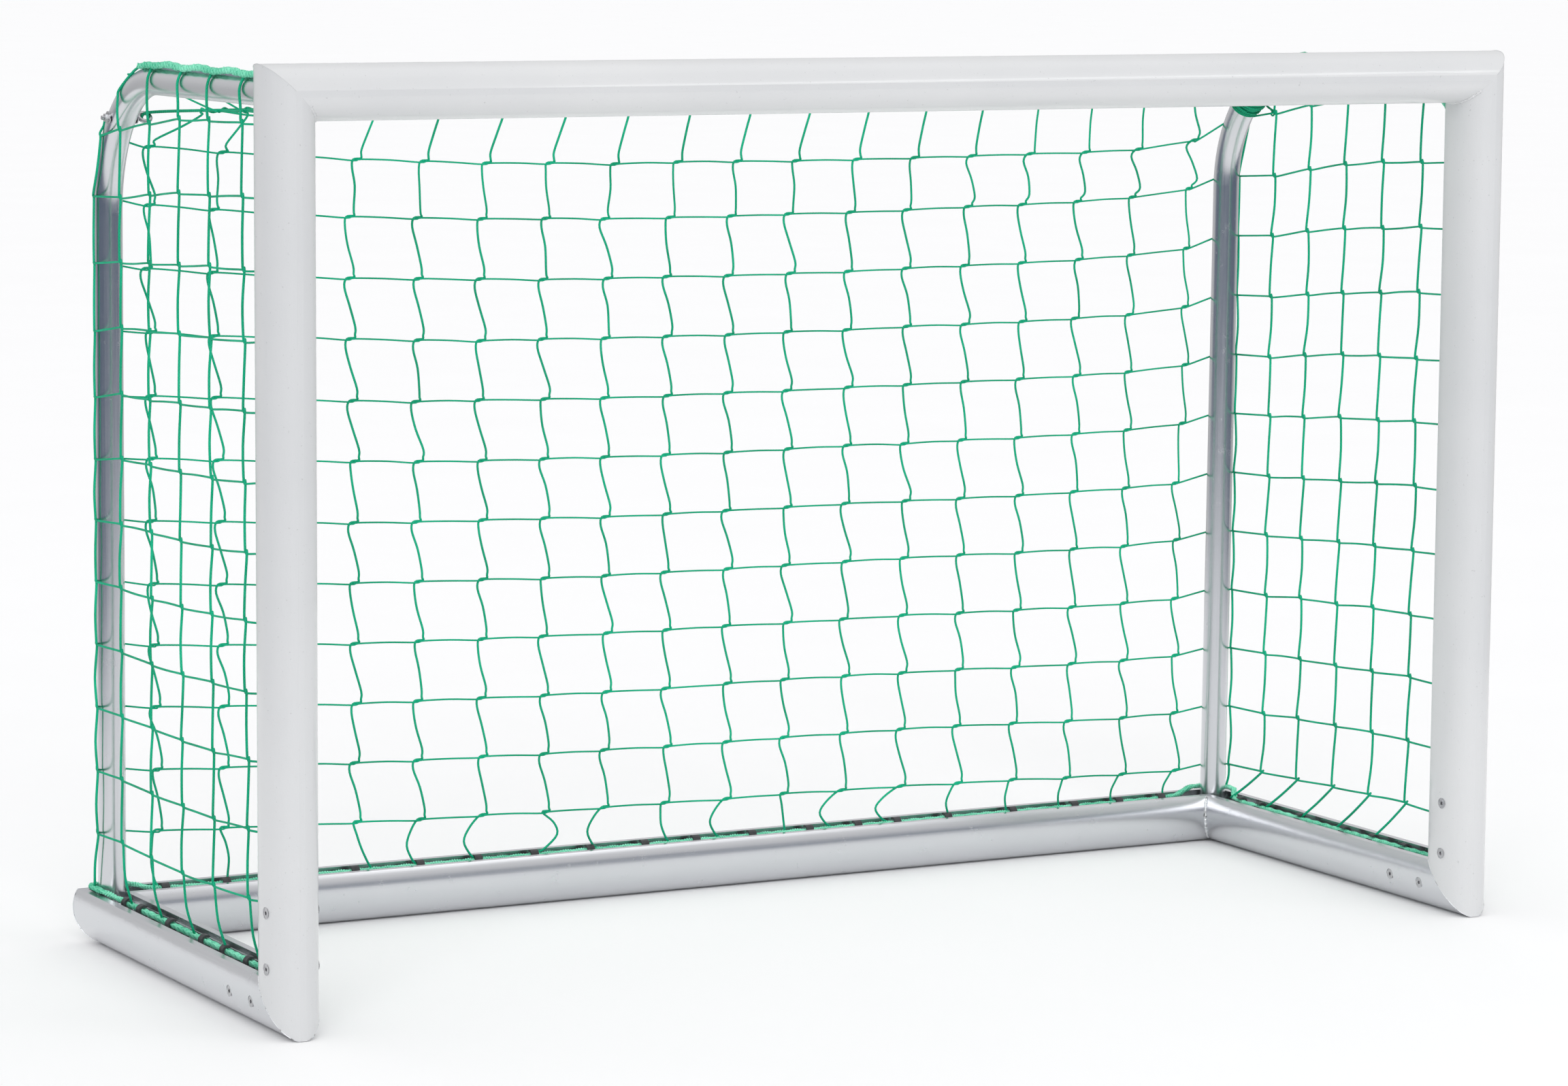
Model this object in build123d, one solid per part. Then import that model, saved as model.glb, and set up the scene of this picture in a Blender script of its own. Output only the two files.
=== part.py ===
from build123d import *
import os
from math import cos, radians, sin, sqrt, tan

# Small free-standing soccer goal, 1.80 x 1.20 m inside the frame.
# Frame of reference: origin on the ground under the middle of the goal, +X to the right as the
# striker sees it, +Y from the goal mouth to the back, +Z up.

# ---------------------------------------------------------------- driving dimensions, mm
OPENING_WIDTH = 1800.0
OPENING_HEIGHT = 1200.0
OVERALL_DEPTH = 750.0

# oval extrusion: narrow way across u, deep way along w, net groove on the +w side
OVAL_WIDTH = 75.0
NOSE_W = 50.0               # from the oval's widest point to the narrow flat on its nose
OVAL_SEMI_W = 50.3          # a little more than that, which leaves the flat
LIP_W = 26.5                # the oval stops here and the net groove opens
GROOVE_HALF = 20.5
GROOVE_FLOOR_W = 8.0
WALL = 3.0
RIB_W = 17.0                # snap rib half way up each groove wall
RIB_THICK = 2.0
RIB_PROUD = 1.2

# net bracket tube
TUBE_R = 20.0
TUBE_WALL = 2.5
TUBE_BEND_R = 193.0
TUBE_X = 932.5              # beside the groove's middle, against its inner corner
TUBE_FOOT_Y = 330.0
TUBE_TOP_Y = 320.0          # the leg leans forward by this little
TUBE_TOP_Z = 1236.5

# corner connector and its screws
CONNECTOR_REACH = 160.0
CONNECTOR_GAP = 0.4
CONNECTOR_NOSE_GAP = 12.0
CONNECTOR_BORE_W = -14.0    # middle of the bore, towards the nose of the oval
CONNECTOR_BORE_WIDE = 42.0
CONNECTOR_BORE_DEEP = 24.0
CONNECTOR_BORE_CORNER = 6.0
SCREW_SHIFT = 11.0          # from the oval's widest point towards its nose
SCREW_FIRST = 53.0          # from the mitre to the first screw
SCREW_PITCH = 75.0
SCREW_R = 4.0
SCREW_HEAD_R = 8.0
SCREW_HEAD_H = 4.4
SCREW_LENGTH = 16.0
SCREW_SOCKET = 5.0
SCREW_SOCKET_DEEP = 3.0
SCREW_HEAD_U = 36.4         # head face, flush with the oval's flank
SCREW_GAP = 0.1             # in the posts and rails; the connector's holes are threaded

# eye bolt through each bracket at its bend
EYE_WIRE_R = 3.0
EYE_RING_R = 8.5
EYE_TILT = 40.0
WASHER_R = 9.0
WASHER_T = 1.5
NUT_FLATS = 10.0
NUT_T = 5.0
BOLT_END = 4.0

# net clips
CLIP_LENGTH = 12.0
CLIP_R = 8.5
CLIP_BORE_R = 5.6
CLIP_SLOT = 5.0
CLIP_SLOT_TURN = 60.0       # degrees from the top of the ring, down its inner side
CLIP_RISE = 14.0            # from the groove floor to the middle of the ring
CLIP_NECK = 9.0
CLIP_BASE_T = 2.5
CLIP_ARM_T = 2.0
CLIP_ARM_H = 7.6
REAR_CLIPS_X = (
    -850, -756, -650, -554, -450, -356, -264, -171, -80, 7, 103, 202, 287, 356, 447, 564, 677, 759, 838,
)
SIDE_CLIPS = (131, 215, 291, 413, 524, 580)   # back from the post's axis
POST_CLIP_FIRST = 145.0
POST_CLIP_LAST = 1140.0
POST_CLIP_COUNT = 11
BAR_CLIP_REACH = 830.0
BAR_CLIP_COUNT = 17

# ropes
EDGE_ROPE_R = 4.5
CHAIN_ROPE_R = 5.0
CHAIN_TURN = 35.0           # degrees that the side net pulls it round the bracket from its top
TENSION_ROPE_R = 2.5
HANK_START = 40.0           # degrees up the bend where the winding starts and ends
HANK_END = 66.0
HANK_R = 28.0
LEFT_CHAIN_END = 52.0       # how far down the bend each crocheted edge reaches, same angle
RIGHT_CHAIN_END = 70.0
CHAIN_FRONT = 4.0           # its front end, off the crossbar's lips
CHAIN_BEND = 0.999          # of the exact bend, so that both ends keep a short straight

# where the edge ropes leave the grooves to pass the bracket's ends
ROPE_OVER_LIP = 2.0
GROUND_ROPE_FRONT = 20.0    # its end, off the post's lips
GROUND_ROPE_RISE_Y = (278.0, 304.0)
GROUND_ROPE_DIP_X = (-903.0, -868.0)
GROUND_ROPE_BENDS = (40.0, 40.0, 24.0, 40.0, 40.0)
FRONT_ROPE_FOOT = 22.0      # its end, above the side rail's lips
FRONT_ROPE_LEAVES_Z = 1160.0
FRONT_ROPE_PAST = ((-918.0, 1188.0), (-894.0, 1216.0))   # x and z, behind the lips
FRONT_ROPE_RETURNS_X = -852.0
FRONT_ROPE_BENDS = (50.0, 30.0, 30.0, 50.0)

# net, as thin grilles
STRAND = 4.0
NET_HALF_WIDTH = 900.0
BACK_COLUMNS = 18
SIDE_COLUMNS = 6
NET_ROWS = 11
ROOF_ROWS = 5
NET_EDGE = 2.0              # between a side panel and the lips and bracket round it
BACK_NET_FOOT = 7.0         # above the rear rail's lips
BACK_NET_HEAD = (3.0, -20.0)    # y and z off the eye bolts
ROOF_NET_BACK = (-14.0, 8.0)
ROOF_NET_FRONT = 7.0        # off the crossbar's lips

# weld beads
BEAD_R = 2.5
BEAD_START = -62.0          # degrees round the oval, from its widest point towards the nose
BEAD_SWEEP = 93.0
FOOT_BEAD = 4.0

# ---------------------------------------------------------------- worked out from them
POST_X = (OPENING_WIDTH + OVAL_WIDTH) / 2
FRONT_Y = -OVERALL_DEPTH / 2
POST_Y = FRONT_Y + NOSE_W
REAR_Y = OVERALL_DEPTH / 2 - OVAL_WIDTH / 2
RAIL_Z = NOSE_W
BAR_Z = OPENING_HEIGHT + OVAL_WIDTH / 2
TOP_Z = OPENING_HEIGHT + OVAL_WIDTH
SIDE_X = POST_X + OVAL_WIDTH / 2
LIP_Y = POST_Y + LIP_W
LIP_Z = RAIL_Z + LIP_W
FLOOR_Y = POST_Y + GROOVE_FLOOR_W
FLOOR_Z = RAIL_Z + GROOVE_FLOOR_W
ROPE_W = GROOVE_FLOOR_W + CLIP_RISE
ROPE_Y = POST_Y + ROPE_W
ROPE_Z = RAIL_Z + ROPE_W
FAR = 3000.0
CLEAR = 0.3


def save(name, shape):
    export_step(shape, f"parts/{name}.step")


def mirrored(shape):
    return mirror(shape, about=Plane.YZ)


def group(solids):
    return Compound(children=list(solids))


def oval(semi_u, semi_w, low, high):
    """An oval section kept between two levels of w."""
    band = Pos(0, (low + high) / 2) * Rectangle(FAR, high - low)
    return Ellipse(semi_u, semi_w) & band


def profile_section():
    """The goal extrusion: outer skin, net groove on the +w side, and one web across."""
    skin = oval(OVAL_WIDTH / 2, OVAL_SEMI_W, -NOSE_W, LIP_W)
    hollow = oval(OVAL_WIDTH / 2 - WALL, OVAL_SEMI_W - WALL, WALL - NOSE_W, LIP_W - WALL)
    block_low = GROOVE_FLOOR_W - WALL
    block = Pos(0, block_low + FAR / 2) * Rectangle(2 * (GROOVE_HALF + WALL), FAR)
    web = Pos(0, GROOVE_FLOOR_W - WALL / 2) * Rectangle(FAR, WALL)
    groove = Pos(0, GROOVE_FLOOR_W + FAR / 2) * Rectangle(2 * GROOVE_HALF, FAR)
    section = skin - (hollow - block - web) - groove
    for side in (-1, 1):
        section += Pos(side * (GROOVE_HALF - RIB_PROUD / 2), RIB_W) * Rectangle(RIB_PROUD, RIB_THICK)
    return section


def connector_section():
    """Hollow bar that slides into the closed chamber of the extrusion."""
    low = -NOSE_W + WALL + CONNECTOR_NOSE_GAP
    high = GROOVE_FLOOR_W - WALL - CONNECTOR_GAP
    inset = WALL + CONNECTOR_GAP
    bar = oval(OVAL_WIDTH / 2 - inset, OVAL_SEMI_W - inset, low, high)
    bore = RectangleRounded(CONNECTOR_BORE_WIDE, CONNECTOR_BORE_DEEP, CONNECTOR_BORE_CORNER)
    return bar - Pos(0, CONNECTOR_BORE_W) * bore


def beyond(point, normal):
    """Everything on the far side of a plane, for cutting a mitre."""
    block = Box(FAR, FAR, FAR, align=(Align.CENTER, Align.CENTER, Align.MIN))
    return Plane(origin=point, z_dir=normal) * block


def along_z(section, x, y, length):
    return extrude(Plane((x, y, 0), x_dir=(1, 0, 0), z_dir=(0, 0, 1)) * section, length)


def along_x(section, y, z, across, deep, length):
    """Centred on x = 0, with u along across and w along deep."""
    normal = Vector(*across).cross(Vector(*deep))
    start = Vector(0, y, z) - normal * (length / 2)
    return extrude(Plane(start, x_dir=across, z_dir=normal) * section, length)


def along_y(section, x, z, front, back):
    return extrude(Plane((x, back, z), x_dir=(1, 0, 0), z_dir=(0, -1, 0)) * section, back - front)


FOOT_MITRE = (-POST_X, FRONT_Y, 0)
TOP_MITRE = (-SIDE_X, 0, TOP_Z)
REAR_MITRE = (-SIDE_X, OVERALL_DEPTH / 2, 0)


def make_frame():
    section = profile_section()
    post = along_z(section, -POST_X, POST_Y, TOP_Z)
    post = post - beyond(FOOT_MITRE, (0, 1, -1)) - beyond(TOP_MITRE, (1, 0, 1))
    bar = along_x(section, POST_Y, BAR_Z, (0, 0, 1), (0, 1, 0), 2 * SIDE_X)
    bar = bar - beyond(TOP_MITRE, (-1, 0, -1)) - mirrored(beyond(TOP_MITRE, (-1, 0, -1)))
    rail = along_y(section, -POST_X, RAIL_Z, FRONT_Y, OVERALL_DEPTH / 2)
    rail = rail - beyond(FOOT_MITRE, (0, -1, 1)) - beyond(REAR_MITRE, (1, 1, 0))
    rear = along_x(section, REAR_Y, RAIL_Z, (0, 1, 0), (0, 0, 1), 2 * SIDE_X)
    rear = rear - beyond(REAR_MITRE, (-1, -1, 0)) - mirrored(beyond(REAR_MITRE, (-1, -1, 0)))
    return post, bar, rail, rear


def make_connector():
    section = connector_section()
    upright = along_z(section, -POST_X, POST_Y, CONNECTOR_REACH + RAIL_Z)
    upright = upright - beyond(FOOT_MITRE, (0, 1, -1))
    lying = along_y(section, -POST_X, RAIL_Z, FRONT_Y, POST_Y + CONNECTOR_REACH)
    lying = lying - beyond(FOOT_MITRE, (0, -1, 1))
    return upright + lying


def screw_blank(gap):
    """Countersunk screw pointing down -Z from its head face at the origin, grown by a gap."""
    head = Pos(0, 0, -SCREW_HEAD_H / 2) * Cone(SCREW_R + gap, SCREW_HEAD_R + gap, SCREW_HEAD_H)
    return head + Pos(0, 0, -SCREW_LENGTH / 2) * Cylinder(SCREW_R + gap, SCREW_LENGTH)


def make_screw():
    socket = RegularPolygon(SCREW_SOCKET / 2, 6, major_radius=False)
    return screw_blank(0) - extrude(socket, -SCREW_SOCKET_DEEP)


def screw_hole(gap):
    return screw_blank(gap) + Pos(0, 0, SCREW_HEAD_H / 2) * Cylinder(SCREW_HEAD_R + gap, SCREW_HEAD_H)


def corner_screws(side, piece):
    """Four copies of a piece on one face of the left corner; side is -1 outside and 1 inside."""
    mitre = RAIL_Z - SCREW_SHIFT
    offsets = (SCREW_FIRST, SCREW_FIRST + SCREW_PITCH)
    places = [(POST_Y - SCREW_SHIFT, mitre + s) for s in offsets]
    places += [(POST_Y - SCREW_SHIFT + s, mitre) for s in offsets]
    x = -POST_X + side * SCREW_HEAD_U
    return [Plane((x, y, z), x_dir=(0, 1, 0), z_dir=(side, 0, 0)) * piece for y, z in places]


def bracket_line():
    """The bracket's centre line, from its foot up and forward."""
    points = (
        (-TUBE_X, TUBE_FOOT_Y, FLOOR_Z + CLEAR),
        (-TUBE_X, TUBE_TOP_Y, TUBE_TOP_Z),
        (-TUBE_X, FLOOR_Y + CLEAR, TUBE_TOP_Z),
    )
    return FilletPolyline(*points, radius=TUBE_BEND_R)


def pipe(path, radius, bore=0.0):
    """A round bar along a path, or a tube where it has a bore."""
    section = Circle(radius) - Circle(bore) if bore else Circle(radius)
    return sweep(Plane(origin=path @ 0, z_dir=path % 0) * section, path=path)


LINE = bracket_line()
BEND = LINE.edges().filter_by(GeomType.CIRCLE)[0]
BEND_MIDDLE = BEND @ 0.5
BEND_CENTRE = BEND.arc_center
EYE_Y = BEND_MIDDLE.Y
EYE_Z = BEND_MIDDLE.Z


def make_eye_bolt():
    """Eye bolt through the left bracket, eye inwards, with its washers and nut."""
    ring_x = -TUBE_X + TUBE_R + WASHER_T + EYE_WIRE_R + EYE_RING_R
    end_x = -TUBE_X - TUBE_R - WASHER_T - NUT_T - BOLT_END
    ring = Pos(ring_x, 0, 0) * Torus(EYE_RING_R, EYE_WIRE_R)
    shank_end = ring_x - EYE_RING_R
    across = Rot(0, 90, 0)
    shank = Pos((end_x + shank_end) / 2, 0, 0) * across * Cylinder(EYE_WIRE_R, shank_end - end_x)
    bolt = ring + shank
    washer = across * (Cylinder(WASHER_R, WASHER_T) - Cylinder(EYE_WIRE_R, WASHER_T))
    reach = TUBE_R + WASHER_T / 2
    washers = [Pos(-TUBE_X - reach, 0, 0) * washer, Pos(-TUBE_X + reach, 0, 0) * washer]
    hexagon = RegularPolygon(NUT_FLATS / 2, 6, major_radius=False) - Circle(EYE_WIRE_R)
    nut = extrude(hexagon, NUT_T / 2, both=True)
    nut = Pos(-TUBE_X - TUBE_R - WASHER_T - NUT_T / 2, 0, 0) * across * nut
    place = Pos(0, EYE_Y, EYE_Z) * Rot(EYE_TILT, 0, 0)
    return place * bolt, [place * w for w in washers], place * nut, ring_x + EYE_RING_R


def make_bracket():
    tube = pipe(LINE, TUBE_R, TUBE_R - TUBE_WALL)
    hole = Pos(-TUBE_X, EYE_Y, EYE_Z) * Rot(0, 90, 0) * Cylinder(EYE_WIRE_R, 3 * TUBE_R)
    return tube - hole


def make_clip():
    """Net clip standing on the groove floor at the origin, w up, rope bore along Z."""
    neck = Pos(0, CLIP_RISE / 2) * Rectangle(CLIP_NECK, CLIP_RISE)
    slot = Rot(0, 0, -CLIP_SLOT_TURN) * Pos(0, CLIP_R) * Rectangle(CLIP_SLOT, CLIP_R)
    base_half = GROOVE_HALF - CLEAR
    base = Pos(0, CLIP_BASE_T / 2) * Rectangle(2 * base_half, CLIP_BASE_T)
    section = neck + Pos(0, CLIP_RISE) * (Circle(CLIP_R) - slot)
    section = section - Pos(0, CLIP_RISE) * Circle(CLIP_BORE_R) + base
    arm = Rectangle(CLIP_ARM_T, CLIP_ARM_H)
    for side in (-1, 1):
        section += Pos(side * (base_half - CLIP_ARM_T / 2), CLIP_ARM_H / 2) * arm
    return extrude(section, CLIP_LENGTH / 2, both=True)


def clips_at(clip, points, across, deep):
    """Clips at the points, u along across and w along deep, away from the groove floor."""
    normal = Vector(*across).cross(Vector(*deep))
    return group([Plane(p, x_dir=across, z_dir=normal) * clip for p in points])


def spread(first, last, count):
    return [first + (last - first) * i / (count - 1) for i in range(count)]


def grille(outline, width, height, columns, rows):
    """A net panel: a thin sheet of square meshes within an outline that starts at its own origin."""
    pitch_x, pitch_y = width / columns, height / rows
    mesh = Rectangle(pitch_x - STRAND, pitch_y - STRAND)
    middles = [(pitch_x * (i + 0.5), pitch_y * (j + 0.5)) for i in range(columns) for j in range(rows)]
    return outline - [Pos(x, y) * mesh for x, y in middles]


def sloping_net(low, high, columns, rows):
    """A net panel across the whole goal between two levels, given as (y, z)."""
    slope = Vector(0, high[0] - low[0], high[1] - low[1])
    width = 2 * NET_HALF_WIDTH
    outline = Pos(width / 2, slope.length / 2) * Rectangle(width, slope.length)
    face = grille(outline, width, slope.length, columns, rows)
    place = Plane((-NET_HALF_WIDTH, *low), x_dir=(1, 0, 0), z_dir=Vector(1, 0, 0).cross(slope))
    return extrude(place * face, STRAND / 2, both=True)


def make_side_net():
    """The left side panel, outside the bracket tube, with its top rear corner round the bend."""
    front, back = LIP_Y + NET_EDGE, TUBE_FOOT_Y + TUBE_R
    low, high = LIP_Z + NET_EDGE, TUBE_TOP_Z + TUBE_R - NET_EDGE
    width, height = back - front, high - low
    outline = Pos(width / 2, height / 2) * Rectangle(width, height)
    rear_top = outline.vertices().sort_by(Axis.X)[-2:].sort_by(Axis.Y)[-1]
    outline = fillet(rear_top, TUBE_BEND_R + TUBE_R)
    rim = outline - offset(outline, -STRAND)
    face = grille(outline, width, height, SIDE_COLUMNS, NET_ROWS) + rim
    plane = Plane((-TUBE_X - TUBE_R - CLEAR, front, low), x_dir=(0, 1, 0), z_dir=(1, 0, 0))
    plate = extrude(plane * face, -STRAND)
    rope_room = Pos(-TUBE_X, TUBE_FOOT_Y, LIP_Z) * Box(4 * TUBE_R, 5 * TUBE_R, 6 * EDGE_ROPE_R)
    return plate - rope_room


def ground_rope_line():
    """Through the rail clips, up over the lips at each rear corner and round the bracket feet."""
    over_z = LIP_Z + EDGE_ROPE_R + ROPE_OVER_LIP
    outer_x = POST_X + GROOVE_HALF
    outer_y = REAR_Y + GROOVE_HALF
    rise_start, rise_end = GROUND_ROPE_RISE_Y
    dip_start, dip_end = GROUND_ROPE_DIP_X
    half = (
        (-POST_X, LIP_Y + GROUND_ROPE_FRONT, ROPE_Z),
        (-POST_X, rise_start, ROPE_Z),
        (-outer_x, rise_end, over_z),
        (-outer_x, outer_y, over_z),
        (dip_start, outer_y, over_z),
        (dip_end, REAR_Y, ROPE_Z),
    )
    other = [(-x, y, z) for x, y, z in reversed(half)]
    return FilletPolyline(*half, *other, radius=(*GROUND_ROPE_BENDS, *reversed(GROUND_ROPE_BENDS)))


def front_rope_line():
    """Up the left post's groove, past the bracket's end, along the crossbar and down again."""
    behind_y = LIP_Y + EDGE_ROPE_R + ROPE_OVER_LIP
    half = (
        (-POST_X, ROPE_Y, LIP_Z + FRONT_ROPE_FOOT),
        (-POST_X, ROPE_Y, FRONT_ROPE_LEAVES_Z),
        *[(x, behind_y, z) for x, z in FRONT_ROPE_PAST],
        (FRONT_ROPE_RETURNS_X, ROPE_Y, BAR_Z),
    )
    other = [(-x, y, z) for x, y, z in reversed(half)]
    return FilletPolyline(*half, *other, radius=(*FRONT_ROPE_BENDS, *reversed(FRONT_ROPE_BENDS)))


def chain_rope_line(end_angle):
    """The crocheted edge lying on top of the left bracket, from the crossbar to this far up the bend."""
    beside = TUBE_R + CHAIN_ROPE_R + CLEAR
    x = -TUBE_X - beside * sin(radians(CHAIN_TURN))
    rise = beside * cos(radians(CHAIN_TURN))
    reach = TUBE_BEND_R + rise
    top_z = TUBE_TOP_Z + rise
    arc_end = radians(end_angle)
    y, z = BEND_CENTRE.Y, top_z - reach
    corner_y = y + reach * tan((radians(90) - arc_end) / 2)
    end = (x, y + reach * cos(arc_end), z + reach * sin(arc_end))
    start = (x, LIP_Y + CHAIN_FRONT, top_z)
    return FilletPolyline(start, (x, corner_y, top_z), end, radius=reach * CHAIN_BEND)


def tension_line(wire_x):
    """One long loop of rope, from eye to eye and back, round the wire of each ring."""
    turn = EYE_WIRE_R + TENSION_ROPE_R + CLEAR
    side = Vector(0, -sin(radians(EYE_TILT)), cos(radians(EYE_TILT))) * turn
    left = Vector(-wire_x, EYE_Y, EYE_Z)
    right = Vector(wire_x, EYE_Y, EYE_Z)
    out = Vector(turn, 0, 0)
    edges = [
        Line(left + side, right + side),
        ThreePointArc(right + side, right + out, right - side),
        Line(right - side, left - side),
        ThreePointArc(left - side, left - out, left + side),
    ]
    return Wire(edges)


def bend_bar(radius, bore=0.0):
    """A round bar or tube along the wound stretch of the left bracket's bend."""
    line = CenterArc((0, 0), TUBE_BEND_R, HANK_START, HANK_END - HANK_START)
    line = Plane(BEND_CENTRE, x_dir=(0, 1, 0), z_dir=(1, 0, 0)) * line
    return pipe(line, radius, bore)


def seam_bead(origin, across, deep):
    """A weld bead along the inner part of a mitred seam of two ovals."""
    plane = Plane(origin, x_dir=across, z_dir=Vector(*across).cross(Vector(*deep)))
    line = EllipticalCenterArc(
        (0, 0), OVAL_WIDTH / 2 * sqrt(2), OVAL_SEMI_W, start_angle=BEAD_START, arc_size=BEAD_SWEEP
    )
    line = plane * line
    return sweep(Plane(origin=line @ 0, z_dir=line % 0) * Circle(BEAD_R), path=line)


def end_bead(point, direction, room):
    """A fillet weld round the end of a bracket tube, where it stands on a groove floor."""
    cone = Cone(TUBE_R + FOOT_BEAD, TUBE_R + CLEAR, FOOT_BEAD)
    bead = Pos(0, 0, FOOT_BEAD / 2) * (cone - Cylinder(TUBE_R + CLEAR, FOOT_BEAD))
    return Plane(point, z_dir=direction) * bead & room


def groove_corner(middle, along):
    """The two grooves that meet at a mitred corner, as far as a weld in it reaches."""
    wide, long = 2 * (GROOVE_HALF - CLEAR), 6 * GROOVE_HALF
    shift = (long - wide) / 2
    across = Pos(shift, 0, 0) * Box(long, wide, long)
    down = Pos(0, -shift, 0) * Box(wide, long, long)
    return Plane(middle, x_dir=(1, 0, 0), z_dir=along) * (across + down)


def main():
    os.makedirs("parts", exist_ok=True)
    post, bar, rail, rear = make_frame()
    bracket = make_bracket()
    screw = make_screw()
    threaded = corner_screws(-1, screw_hole(0)) + corner_screws(1, screw_hole(0))
    sunk = corner_screws(-1, screw_hole(SCREW_GAP)) + corner_screws(1, screw_hole(SCREW_GAP))
    tube_envelope = pipe(LINE, TUBE_R + CLEAR / 10)
    other_envelope = mirrored(tube_envelope)

    post = post - sunk - tube_envelope
    rail = rail - sunk - tube_envelope
    bar = bar - tube_envelope - other_envelope
    rear = rear - tube_envelope - other_envelope
    connector = make_connector() - threaded
    save("crossbar", bar)
    save("rear_ground_rail", rear)
    bolt, washers, nut, wire_edge = make_eye_bolt()
    pairs = {
        "post": post,
        "ground_rail": rail,
        "net_bracket": bracket,
        "corner_connector": connector,
        "outer_corner_screws": group(corner_screws(-1, screw)),
        "inner_corner_screws": group(corner_screws(1, screw)),
        "eye_bolt": bolt,
        "eye_bolt_washers": group(washers),
        "eye_bolt_nut": nut,
    }

    clip = make_clip()
    rail_points = [(-POST_X, POST_Y + s, FLOOR_Z) for s in SIDE_CLIPS]
    pairs["rail_net_clips"] = clips_at(clip, rail_points, (1, 0, 0), (0, 0, 1))
    post_clips = spread(POST_CLIP_FIRST, POST_CLIP_LAST, POST_CLIP_COUNT)
    post_points = [(-POST_X, FLOOR_Y, z) for z in post_clips]
    pairs["post_net_clips"] = clips_at(clip, post_points, (1, 0, 0), (0, 1, 0))
    rear_points = [(x, REAR_Y, FLOOR_Z) for x in REAR_CLIPS_X]
    save("rear_rail_net_clips", clips_at(clip, rear_points, (0, 1, 0), (0, 0, 1)))
    bar_clips = spread(-BAR_CLIP_REACH, BAR_CLIP_REACH, BAR_CLIP_COUNT)
    bar_points = [(x, FLOOR_Y, BAR_Z) for x in bar_clips]
    save("crossbar_net_clips", clips_at(clip, bar_points, (0, 0, 1), (0, 1, 0)))

    bolt_place = Pos(-TUBE_X - TUBE_R, EYE_Y, EYE_Z) * Rot(0, 90, 0)
    bolt_room = bolt_place * Cylinder(WASHER_R + NET_EDGE, 2 * TUBE_R)
    side_net = make_side_net() - bolt_room
    for name, shape in pairs.items():
        save(f"left_{name}", shape)
        save(f"right_{name}", mirrored(shape))

    back_foot = (REAR_Y, LIP_Z + BACK_NET_FOOT)
    back_head = (EYE_Y + BACK_NET_HEAD[0], EYE_Z + BACK_NET_HEAD[1])
    save("back_net", sloping_net(back_foot, back_head, BACK_COLUMNS, NET_ROWS))
    roof_back = (EYE_Y + ROOF_NET_BACK[0], EYE_Z + ROOF_NET_BACK[1])
    roof_front = (LIP_Y + ROOF_NET_FRONT, BAR_Z)
    save("roof_net", sloping_net(roof_back, roof_front, BACK_COLUMNS, ROOF_ROWS))
    save("ground_edge_rope", pipe(ground_rope_line(), EDGE_ROPE_R))
    save("front_edge_rope", pipe(front_rope_line(), EDGE_ROPE_R))
    save("tension_rope", pipe(tension_line(-wire_edge), TENSION_ROPE_R))
    ring_reach = EYE_RING_R + EYE_WIRE_R + CLEAR
    ring_room = Pos(-TUBE_X, EYE_Y, EYE_Z) * Rot(0, 90, 0) * Cylinder(ring_reach, 4 * TUBE_R)
    hank = bend_bar(HANK_R, TUBE_R) - ring_room
    save("rope_hank", mirrored(hank))
    save("left_side_net", side_net)
    tied_net = (side_net - bend_bar(HANK_R + CLEAR)).solids().sort_by(SortBy.VOLUME)[-1]
    save("right_side_net", mirrored(tied_net))
    save("left_bracket_edge_rope", pipe(chain_rope_line(LEFT_CHAIN_END), CHAIN_ROPE_R))
    save("right_bracket_edge_rope", mirrored(pipe(chain_rope_line(RIGHT_CHAIN_END), CHAIN_ROPE_R)))

    rear_seam = seam_bead((-POST_X, REAR_Y, RAIL_Z), (1, -1, 0), (0, 0, 1)) - rail - rear
    top_seam = seam_bead((-POST_X, POST_Y, BAR_Z), (1, 0, -1), (0, 1, 0)) - post - bar
    rear_corner = groove_corner((-POST_X, REAR_Y, RAIL_Z), (0, 0, 1))
    foot = end_bead((-TUBE_X, TUBE_FOOT_Y, FLOOR_Z), (0, 0, 1), rear_corner)
    top_corner = groove_corner((-POST_X, POST_Y, BAR_Z), (0, -1, 0))
    top = end_bead((-TUBE_X, FLOOR_Y, TUBE_TOP_Z), (0, 1, 0), top_corner)
    welds = {
        "rear_corner_welds": rear_seam,
        "top_corner_welds": top_seam,
        "bracket_foot_welds": foot,
        "bracket_top_welds": top,
    }
    for name, bead in welds.items():
        save(name, group([bead, mirrored(bead)]))


main()
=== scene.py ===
import random
from math import cos, exp, pi, radians, sin, sqrt

import bpy
import numpy as np
from mathutils import Matrix, Vector


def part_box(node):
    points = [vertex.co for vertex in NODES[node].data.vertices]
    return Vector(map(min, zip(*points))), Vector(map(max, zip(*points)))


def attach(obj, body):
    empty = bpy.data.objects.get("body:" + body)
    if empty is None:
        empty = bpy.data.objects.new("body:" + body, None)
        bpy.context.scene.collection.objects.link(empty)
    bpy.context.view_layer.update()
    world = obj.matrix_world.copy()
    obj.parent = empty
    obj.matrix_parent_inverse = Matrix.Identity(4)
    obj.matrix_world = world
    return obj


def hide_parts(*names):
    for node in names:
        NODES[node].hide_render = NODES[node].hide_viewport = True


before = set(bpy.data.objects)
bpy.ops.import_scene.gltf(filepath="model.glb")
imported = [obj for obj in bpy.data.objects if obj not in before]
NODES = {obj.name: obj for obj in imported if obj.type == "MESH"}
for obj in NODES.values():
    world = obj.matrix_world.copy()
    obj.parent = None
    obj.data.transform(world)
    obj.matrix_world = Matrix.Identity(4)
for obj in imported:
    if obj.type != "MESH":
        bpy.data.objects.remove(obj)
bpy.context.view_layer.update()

# Small soccer goal: white oval front frame, bare aluminium ground frame, green knotless net.
# Metres, in the goal's own frame: X right, Y to the back, Z up, origin on the ground in the middle.

RANDOM = random.Random(11)

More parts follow.
